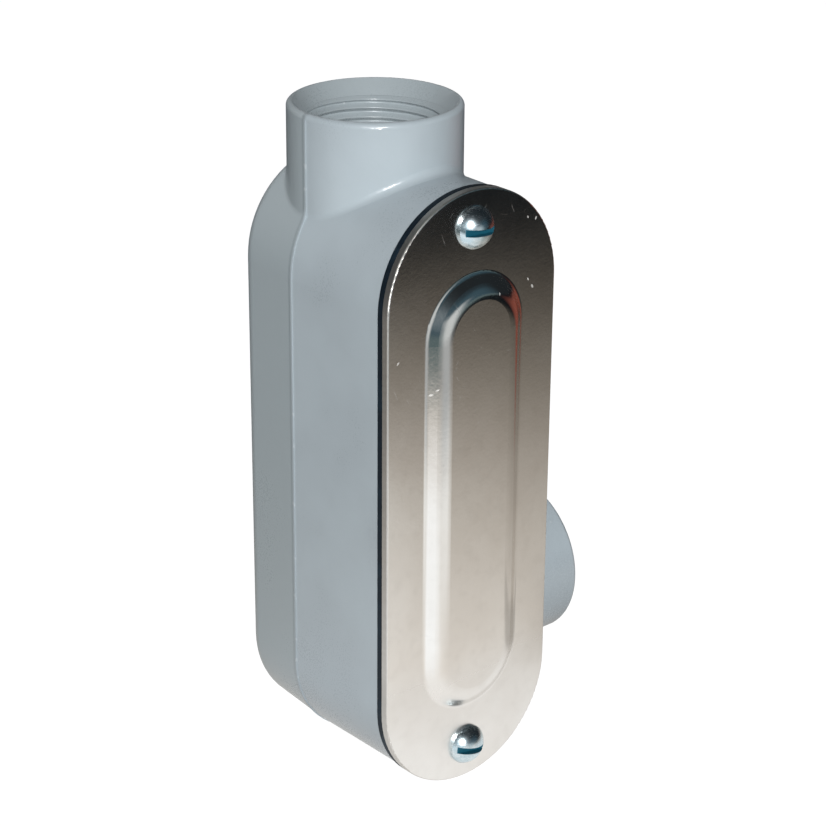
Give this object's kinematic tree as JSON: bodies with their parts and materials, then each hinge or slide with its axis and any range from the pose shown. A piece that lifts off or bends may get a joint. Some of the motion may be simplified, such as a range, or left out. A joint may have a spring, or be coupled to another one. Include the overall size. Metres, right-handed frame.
{
  "type": "conduit body",
  "caption": "Right-hand conduit body: a die-cast trough with round ends and two threaded hubs, closed by a gasketed pressed cover with two screws.",
  "frame": {"origin": "on the top hub's axis, in the plane where its thread starts, 2.9 mm below its rim", "axes": "+Z along the top hub's axis, out of its mouth; +X along the side hub's axis, out of its mouth; the cover faces -Y"},
  "size_m": [0.0608, 0.048, 0.1309],
  "materials": {
    "casting_paint": "light grey powder coat on die-cast aluminium, semi-gloss, faint orange peel",
    "gasket_rubber": "matt black sheet rubber",
    "cover_aluminium": "bare rolled sheet, satin, with fine handling scratches",
    "screw_zinc": "bright zinc plate on steel"
  },
  "bodies": {
    "root": {"body_casting": "casting_paint", "cover_gasket": "gasket_rubber", "cover_plate": "cover_aluminium", "cover_screw_top": "screw_zinc", "cover_screw_bottom": "screw_zinc"}
  },
  "joints": []
}
